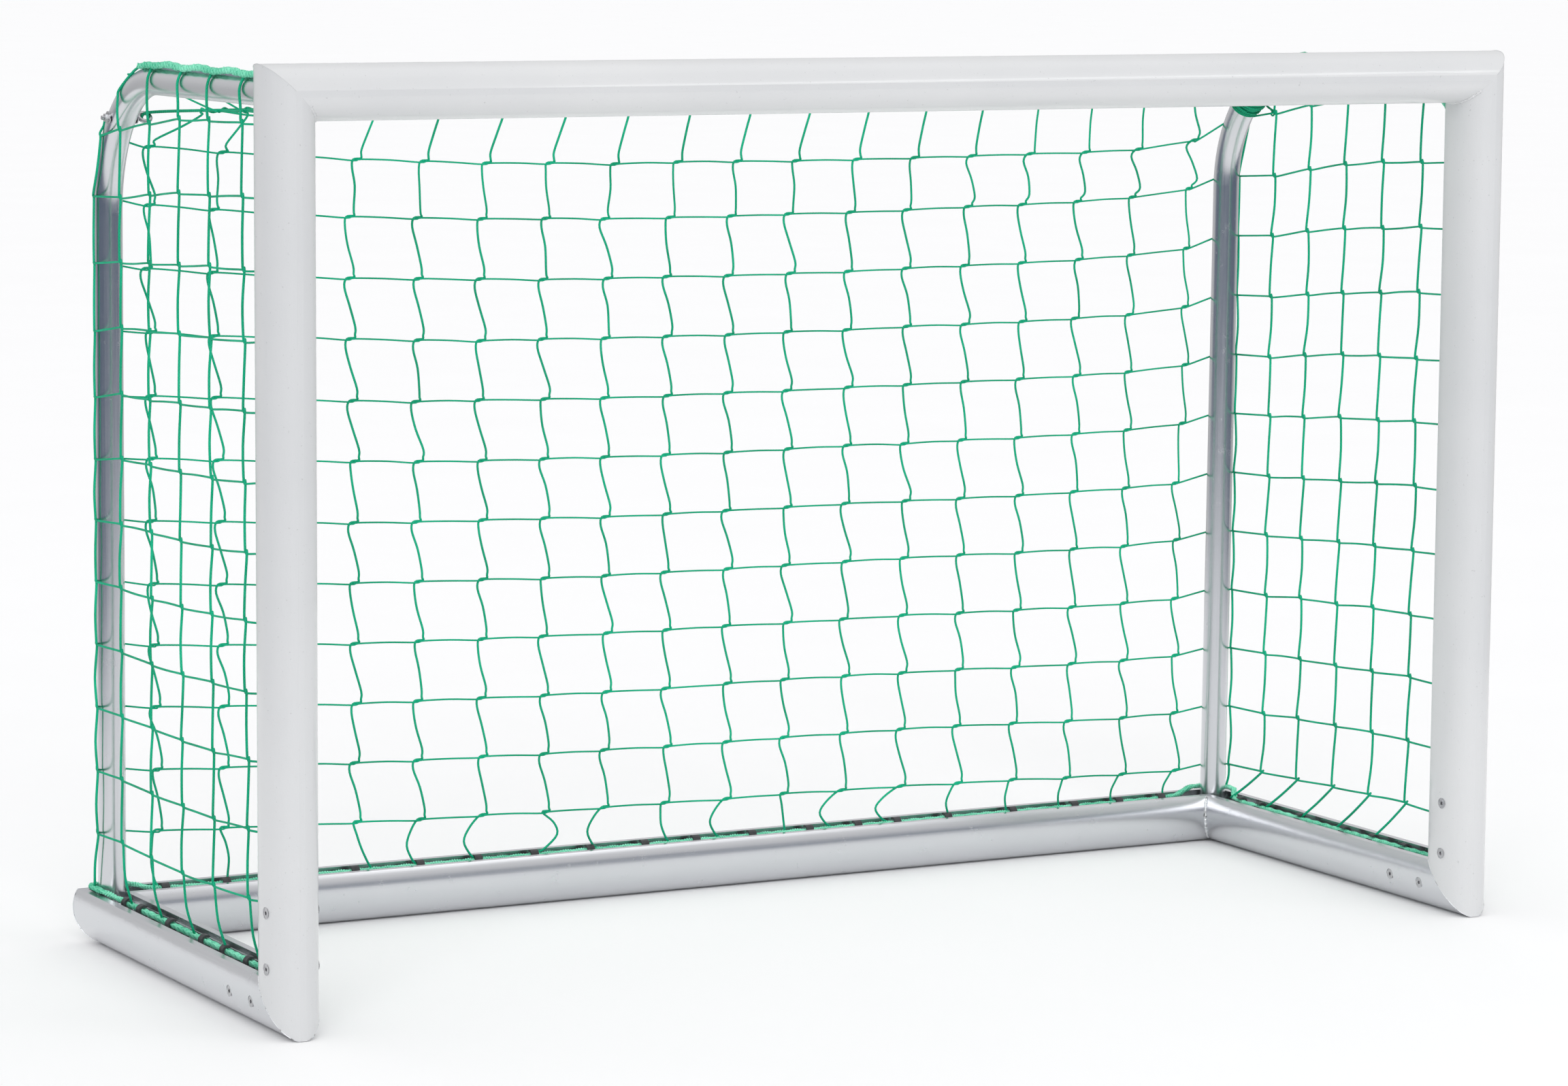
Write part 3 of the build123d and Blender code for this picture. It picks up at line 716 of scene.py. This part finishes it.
def side_horizontal(side, row):
    z = side_z(side, row, FRONT_S)
    points = [np.array((side * POST_X, ROPE_Y, z))]
    for column in range(len(RIGHT_S)):
        knot = side_knot(side, column, row)
        between = (points[-1] + knot) / 2
        points.append(between + np.array((side * 0.0005, 0, -0.001 + jitter(0.001))))
        points.append(knot - SIDE_MERGE - SIDE_BESIDE)
        points.append(knot + SIDE_MERGE - SIDE_BESIDE)
    corner = corner_knot(side, row)
    points.append((points[-1] + corner) / 2)
    points.append(corner)
    return smooth(points)


def corner_vertical(side):
    """Down the outer rear of the bracket's leg, to the ground rope round its foot."""
    if side < 0:
        out, rise = chain_offset(side)
        points = [beside_bend(side, CHAIN_END[side], rise, out)] + climb(side, CORNER_CLIMB)
    else:
        points = [beside_bend(side, radians(RIGHT_CORNER_TOP), 0.004, LEG_OUT)]
    for row in range(ROWS):
        knot = corner_knot(side, row)
        bulge = 0.003 * row / ROWS
        points.append((points[-1] + knot) / 2 + np.array((side * bulge, jitter(0.002), 0)))
        points.append(knot + np.array((0, 0.001, 0.004)))
        points.append(knot - np.array((0, 0.001, 0.004)))
    foot = np.array((side * CORNER_FOOT_X, CORNER_FOOT_Y, ROPE_Z + 0.012))
    points += [(points[-1] + foot) / 2 + np.array((side * 0.002, 0, 0)), foot]
    return smooth(points)


def make_side_net(side, name):
    strands = Strands(6)
    for column in range(len(RIGHT_S)):
        strands.add(side_vertical(side, column), SIDE_DOWN_R)
    for row in range(ROWS):
        strands.add(side_horizontal(side, row), SIDE_ROW_R)
    strands.add(corner_vertical(side), SIDE_DOWN_R)
    return strands.build(f"{name}_twine", NET, "net_twine", name)


def roof_z(y):
    """Along the roof, slack between the tension rope and the crossbar."""
    share = (EYE_Y - y) / (EYE_Y - ROPE_Y)
    return TIE_Z + (BAR_Z - TIE_Z) * share - 0.010 * sin(pi * share)


def roof_x(column, y):
    share = (EYE_Y - y) / (EYE_Y - ROPE_Y)
    return tie_x(column) + (0.004 - 0.012 * share)


def roof_vertical(column):
    x = tie_x(column)
    points = [(x - 0.001, EYE_Y - 0.001, TIE_Z + 0.003), (x, EYE_Y - 0.006, TIE_Z + 0.001)]
    last = EYE_Y
    for y in (*ROOF_ROWS_Y, None):
        target = ROPE_Y + 0.02 if y is None else y
        between = (last + target) / 2
        points.append((roof_x(column, between) + jitter(0.004), between, roof_z(between)))
        if y is not None:
            for step in (0.005, -0.005):
                points.append((roof_x(column, y) - step * 0.4, y + step, roof_z(y) + BESIDE))
            last = y
    points.append((roof_x(column, ROPE_Y), ROPE_Y + 0.004, BAR_Z - 0.001))
    points.append((roof_x(column, ROPE_Y), ROPE_Y, BAR_Z))
    return smooth(points)


def roof_horizontal(y):
    """Across the roof, from one bracket's edge to the other's, sagging a little in each cell."""
    left, right = chain_point(-1, y), chain_point(1, y)
    first = np.array((roof_x(0, y), y, roof_z(y)))
    last = np.array((roof_x(COLUMNS - 1, y), y, roof_z(y)))
    over = np.array((-TUBE_X + 0.012, y, arm_z(y) + TUBE_R + 0.001))
    points = [left, over, (over + first) / 2 - np.array((0, 0, 0.004))]
    for column in range(COLUMNS):
        x = roof_x(column, y)
        for step in (-0.004, 0.004):
            points.append((x + step, y - step * 0.4, roof_z(y) - BESIDE))
        if column < COLUMNS - 1:
            points.append((x + COLUMN_PITCH / 2, y + jitter(0.003), roof_z(y) - 0.007 + jitter(0.002)))
    over = over * np.array((-1, 1, 1))
    points += [(over + last) / 2 - np.array((0, 0, 0.004)), over, right]
    return smooth(points)


def make_roof_net():
    strands = Strands(6)
    for column in range(COLUMNS):
        strands.add(roof_vertical(column), BACK_DOWN_R)
    for y in ROOF_ROWS_Y:
        strands.add(roof_horizontal(y), BACK_ROW_R)
    return strands.build("roof_net_twine", NET, "net_twine", "roof_net")


# ---------------------------------------------------------------- ropes
PLAIT_WIDE = 0.0033
PLAIT_DEEP = 0.0024
PLAIT_PITCH = 0.013
PLAIT_STRAND = 0.0019


def add_plait(strands, line, size=1.0):
    """Three strands plaited flat along a line."""
    _, across, up = frames(line)
    run = run_along(line)
    for strand in range(3):
        phase = (2 * pi * run / PLAIT_PITCH + 2 * pi * strand / 3)[:, None]
        wide = across * np.sin(phase) * PLAIT_WIDE * size
        deep = up * np.sin(2 * phase) * PLAIT_DEEP * size
        strands.add(line + wide + deep, PLAIT_STRAND * size)


def both_ways(half):
    return [*half, *[(-x, y, z) for x, y, z in reversed(half)]]


def make_ground_rope():
    over_z = RAIL_Z + LIP_W + 0.0065
    groove = 0.0205
    outer_x, outer_y = POST_X + groove, REAR_Y + groove
    half = [
        (-POST_X, LIP_Y + 0.020, ROPE_Z), (-POST_X, LIP_Y + 0.080, ROPE_Z), (-POST_X, 0.200, ROPE_Z),
        (-POST_X, 0.278, ROPE_Z), (-outer_x, 0.304, over_z), (-outer_x - 0.001, 0.322, over_z),
        (-outer_x, outer_y - 0.006, over_z), (-outer_x + 0.014, outer_y, over_z), (-0.903, outer_y, over_z),
        (-0.868, REAR_Y, ROPE_Z), (-0.780, REAR_Y, ROPE_Z),
    ]
    strands = Strands(6)
    add_plait(strands, spline(both_ways(half)))
    return strands.build("ground_rope_plait", ROPE, "edge_rope", "ground_edge_rope")


def make_front_rope():
    behind_y = LIP_Y + 0.0065
    half = [
        (-POST_X, ROPE_Y, RAIL_Z + LIP_W + 0.022), (-POST_X, ROPE_Y, 0.180), (-POST_X, ROPE_Y, 1.080),
        (-POST_X, ROPE_Y, 1.160), (-0.918, behind_y, 1.188), (-0.894, behind_y, 1.216),
        (-0.852, ROPE_Y, BAR_Z), (-0.760, ROPE_Y, BAR_Z),
    ]
    strands = Strands(6)
    add_plait(strands, spline(both_ways(half)))
    return strands.build("front_rope_plait", ROPE, "edge_rope", "front_edge_rope")


def slack_wave(side, y):
    """The left edge stands up and out between the net's columns, which pull it down."""
    if side > 0:
        return np.zeros(3)
    wave = sin(pi * (y - POST_Y - LEFT_TOP_S[0]) / LEFT_PITCH) ** 2
    return wave * np.array((0.0015 * side, 0, CHAIN_WAVE))


def make_chain(side, name):
    """The net's crocheted edge on top of a bracket."""
    points = [chain_point(side, y) + slack_wave(side, y) for y in np.linspace(LIP_Y + 0.006, BEND_Y, 18)]
    out, rise = chain_offset(side)
    for angle in np.linspace(pi / 2, CHAIN_END[side], 5)[1:]:
        points.append(beside_bend(side, angle, rise + 0.0004, out))
    strands = Strands(6)
    add_plait(strands, spline([tuple(p) for p in points]), 1.2 if side < 0 else 1.0)
    return strands.build(f"{name}_plait", ROPE, "edge_rope", name)


def make_tension_rope():
    """A doubled cord from eye to eye, with the net's edge wound along it."""
    strands = Strands(8)
    cord_r = 0.0021
    for turn in (1, -1):
        half = [
            (-RING_X - 0.0045, EYE_Y - turn * 0.001, EYE_Z - 0.002),
            (-RING_X - 0.004, EYE_Y + turn * 0.001, EYE_Z + 0.005),
            (-RING_X + 0.012, EYE_Y + turn * 0.002, TIE_Z - 0.001),
            (-0.84, EYE_Y + turn * 0.002, TIE_Z),
            (-0.6, EYE_Y + turn * 0.002, TIE_Z),
        ]
        strands.add(spline(both_ways(half), 0.004), cord_r)
    edge = []
    for column in range(COLUMNS - 1):
        x0, x1 = tie_x(column), tie_x(column + 1)
        for share in np.linspace(0, 1, 9)[:-1]:
            turn = 4 * pi * share
            edge.append((x0 + (x1 - x0) * share, EYE_Y + 0.0045 * sin(turn), TIE_Z + 0.0032 * cos(turn)))
    strands.add(smooth(edge), 0.0013)
    return strands.build("tension_rope_cords", CORD, "net_twine", "tension_rope")


HANK_KNOT = (SIDE_OUT + 0.002, POST_Y + 0.556, 1.163)
# the hank's looser layers: from and to, in degrees along the bend, turns, height on the tube and start
HANK_LAYERS = (
    (42, 63, 9, 0.0043, 0.4), (64, 44, 7, 0.0050, 2.0), (44, 60, 5, 0.0058, 3.6),
    (61, 47, 4, 0.0064, 5.0), (46, 57, 3, 0.0066, 1.1),
)


def on_bend(side, along, out, turn):
    """A point beside the bend: along it from the horizontal, and round the tube from its outside."""
    reach = BEND_R + out * cos(turn)
    return (side * (TUBE_X + out * sin(turn)), BEND_Y + reach * cos(along), BEND_Z + reach * sin(along))


def winding(start, end, turns, out, phase=0.0):
    """A cord wound round the right bracket's bend."""
    steps = max(8, round(abs(turns) * 20))
    places = np.linspace(0, 1, steps + 1)
    return [on_bend(1, start + (end - start) * t, out, phase + 2 * pi * turns * t) for t in places]


def knot_line(middle):
    """A trefoil knot about this place."""
    loops = []
    for t in np.linspace(0, 2 * pi, 40, endpoint=False):
        y = sin(t) + 1.2 * sin(2 * t)
        z = cos(t) - 1.2 * cos(2 * t)
        loops.append(middle + 0.0028 * np.array((0.5 * sin(3 * t), y, z)))
    return smooth(loops + [loops[0]], 2)


def make_hank():
    """The spare rope: close turns on the tube, crossed by looser slanting ones, tied to the net."""
    strands = Strands(6)
    cord_r = 0.0014
    strands.add(winding(radians(40), radians(65), 28, TUBE_R + 0.0016), cord_r)
    for first, last, turns, lift, phase in HANK_LAYERS:
        strands.add(winding(radians(first), radians(last), turns, TUBE_R + lift, phase), cord_r)
    knot = np.array(HANK_KNOT)
    for shift in (-0.004, 0.005):
        top = np.array(on_bend(1, radians(45) + shift * 4, TUBE_R + 0.004, radians(75)))
        middle = (top + knot) / 2 + np.array((0.004, shift, -0.004))
        strands.add(smooth([top, middle, knot + np.array((0, shift * 0.3, 0.002))], 8), cord_r)
    strands.add(knot_line(knot), cord_r)
    return strands.build("rope_hank_turns", CORD, "net_twine", "rope_hank")


# ---------------------------------------------------------------- welds and seams
def oval_arc(start, end, grow=0.0, count=120):
    """Points round the oval, as (u, w), angles from its widest point."""
    turns = np.linspace(radians(start), radians(end), count)
    return [((OVAL_U + grow) * cos(t), max(-NOSE_W - grow, (OVAL_W + grow) * sin(t))) for t in turns]


def rear_seam(u, w, side):
    return (side * (POST_X - u), REAR_Y - u, RAIL_Z + w)


def top_seam(u, w, side):
    return (side * (POST_X - u), POST_Y + w, BAR_Z - u)


def foot_seam(u, w, side):
    return (side * (POST_X - u), POST_Y + w, RAIL_Z + w)


def bead_line(seam, side, start, end):
    return even(np.array([seam(u, w, side) for u, w in oval_arc(start, end)]), 0.0005)


def ripple(line, radius, depth, pitch):
    """Radii of a bead laid down in overlapping drops."""
    run = run_along(line)
    wave = np.abs(np.sin(pi * run / pitch)) * depth
    wander = np.array([0.12 * radius * sin(90 * r) + 0.08 * radius * sin(37 * r + 1) for r in run * 10])
    taper = np.clip(np.minimum(run, run[-1] - run) / 0.004, 0.25, 1)
    return (radius - depth + wave + wander) * taper


def make_beads(seam, name, material, slot, start, end):
    strands = Strands(10)
    for side in (-1, 1):
        line = bead_line(seam, side, start, end)
        strands.add(line, ripple(line, 0.0026, 0.0006, 0.0024))
    return strands.build(f"{name}_ripple", material, slot, name)


def make_seams():
    """The fine joints that show where two mitred lengths meet."""
    bright = Strands(6)
    white = Strands(6)
    for side in (-1, 1):
        for start, end in ((-83, 31), (-97, -211)):
            bright.add(bead_line(foot_seam, side, start, end), 0.0006)
        white.add(bead_line(top_seam, side, -97, -211), 0.0005)
        bright.add(bead_line(rear_seam, side, -97, -211), 0.0006)
    bright.build("rail_seam_lines", WELD, "bare_aluminium")
    white.build("bar_seam_lines", COAT, "white_coating")


# ---------------------------------------------------------------- camera, light and floor
CAMERA_PLACE = (-3.5617, -6.5528, 1.5097)
CAMERA_YAW = 0.49484
CAMERA_PITCH = -0.12604
CAMERA_ROLL = 0.00726
CAMERA_LENS = 119.53
SENSOR = 36.0
CAMERA_FAR = 200.0


def make_camera():
    data = bpy.data.cameras.new("camera")
    data.lens = CAMERA_LENS
    data.sensor_width = SENSOR
    data.clip_end = CAMERA_FAR
    camera = bpy.data.objects.new("camera", data)
    bpy.context.scene.collection.objects.link(camera)
    flat = cos(CAMERA_PITCH)
    ahead = Vector((sin(CAMERA_YAW) * flat, cos(CAMERA_YAW) * flat, sin(CAMERA_PITCH)))
    level = Vector((cos(CAMERA_YAW), -sin(CAMERA_YAW), 0))
    upright = level.cross(ahead)
    right = cos(CAMERA_ROLL) * level + sin(CAMERA_ROLL) * upright
    up = -sin(CAMERA_ROLL) * level + cos(CAMERA_ROLL) * upright
    turned = Matrix((right, up, -ahead)).transposed().to_4x4()
    camera.matrix_world = Matrix.Translation(CAMERA_PLACE) @ turned
    bpy.context.scene.camera = camera


FLOOR_GAP = 0.0008              # the floor lies just under the rails
FLOOR_NEAR = 3.3
FLOOR_FAR = 70.0


def add_floor(name, inner, outer, material):
    """A flat ring of floor; the inner one shows in the metal, and the outer one only to the eye."""
    sides = 96
    turns = [2 * pi * i / sides for i in range(sides)]
    verts = [(r * cos(t), r * sin(t), -FLOOR_GAP) for r in (inner, outer) for t in turns]
    quads = [(i, (i + 1) % sides, sides + (i + 1) % sides, sides + i) for i in range(sides)]
    mesh = bpy.data.meshes.new(name)
    mesh.from_pydata(verts, [], quads)
    mesh.materials.append(material)
    floor = bpy.data.objects.new(name, mesh)
    bpy.context.scene.collection.objects.link(floor)
    return floor


def make_floor():
    s = Shader("pale_floor", Roughness=0.9)
    color = s.mix(s.remap(s.noise(2.0), 0.3, 0.7), (0.985, 0.985, 0.985), (0.995, 0.995, 0.995))
    material = s.finish(color)
    add_floor("floor_near", 0.0, FLOOR_NEAR, material)
    far = add_floor("floor_far", FLOOR_NEAR, FLOOR_FAR, material)
    far.visible_glossy = False


SKY = ((-1.0, 0.45), (-0.35, 0.54), (-0.05, 0.60), (0.25, 0.72), (1.0, 0.84))  # heights and levels
DARK = (0.11, 0.14, 0.20)
DARK_CARD = (0.12, 0.905, 0.33)  # where a dark card stands beyond the goal
CARD_EDGE = cos(radians(16))
CARD_FULL = cos(radians(10))
CARD_STRENGTH = 0.8
STRIP_PLACE = (3.05, -4.1, 3.74)
STRIP_AIM = (1.0, -0.37, 1.24)
STRIP_LONG = 2.5
STRIP_WIDE = 0.4
STRIP_WATTS = 17.0


def sky_ramp(w, height):
    made = w.node("ShaderNodeValToRGB", {0: height})
    elements = made.color_ramp.elements
    while len(elements) < len(SKY):
        elements.new(0.5)
    for element, (z, level) in zip(elements, SKY):
        element.position = (z + 1) / 2
        element.color = (level, level, level * 1.01, 1)
    return made.outputs[0]


def make_world():
    """Even white light from above, greyer below, with two dark places for the bare metal to mirror."""
    world = bpy.data.worlds.new("studio")
    bpy.context.scene.world = world
    world.use_nodes = True
    world.node_tree.nodes.clear()
    w = Nodes(world.node_tree)
    direction = w.node("ShaderNodeTexCoord").outputs["Generated"]
    height = w.node("ShaderNodeSeparateXYZ", {0: direction}).outputs[2]
    sky = sky_ramp(w, w.remap(height, -1.0, 1.0))
    behind = w.remap(w.toward(direction, (-sin(CAMERA_YAW), -cos(CAMERA_YAW), 0)), -0.50, -0.10)
    low = w.remap(height, 0.20, 0.07)
    near_card = w.toward(direction, Vector(DARK_CARD).normalized())
    card = w.remap(near_card, CARD_EDGE, CARD_FULL, 0.0, CARD_STRENGTH)
    dark = w.math("MAXIMUM", w.math("MULTIPLY", behind, low), card)
    lit = w.node("ShaderNodeBackground", {0: w.mix(dark, sky, DARK)}).outputs[0]
    seen = w.node("ShaderNodeBackground", {0: (1, 1, 1, 1)}).outputs[0]
    to_eye = w.node("ShaderNodeLightPath").outputs["Is Camera Ray"]
    shown = w.node("ShaderNodeMixShader", {0: to_eye, 1: lit, 2: seen}).outputs[0]
    w.node("ShaderNodeOutputWorld", {0: shown})


def add_light(data, place, aim):
    light = bpy.data.objects.new(data.name, data)
    light.location = place
    light.rotation_euler = (Vector(aim) - Vector(place)).to_track_quat("-Z", "Y").to_euler()
    bpy.context.scene.collection.objects.link(light)
    return light


def make_sun(name, place, spread, strength):
    """A far soft light that shines from this side towards the middle."""
    data = bpy.data.lights.new(name, "SUN")
    data.angle = radians(spread)
    data.energy = strength
    add_light(data, place, (0, 0, 0))


def make_strip():
    """A long narrow lamp up in front, whose thin reflection runs along the crossbar."""
    data = bpy.data.lights.new("strip", "AREA")
    data.shape = "RECTANGLE"
    data.size = STRIP_LONG
    data.size_y = STRIP_WIDE
    data.energy = STRIP_WATTS
    add_light(data, STRIP_PLACE, STRIP_AIM).visible_camera = False


# ---------------------------------------------------------------- build
make_camera()
make_back_net()
make_side_net(-1, "left_side_net")
make_side_net(1, "right_side_net")
make_roof_net()
make_ground_rope()
make_front_rope()
make_chain(-1, "left_bracket_edge_rope")
make_chain(1, "right_bracket_edge_rope")
make_tension_rope()
make_hank()
make_beads(rear_seam, "rear_corner_welds", WELD, "bare_aluminium", -62, 31)
make_beads(top_seam, "top_corner_welds", COAT, "white_coating", -62, 31)
make_seams()
make_floor()
make_world()
make_sun("key", (-3.0, -6.0, 4.0), 40.0, 0.95)
make_sun("overhead", (0.5, 1.5, 6.0), 60.0, 0.25)
make_strip()
bpy.context.scene.view_settings.view_transform = "Standard"
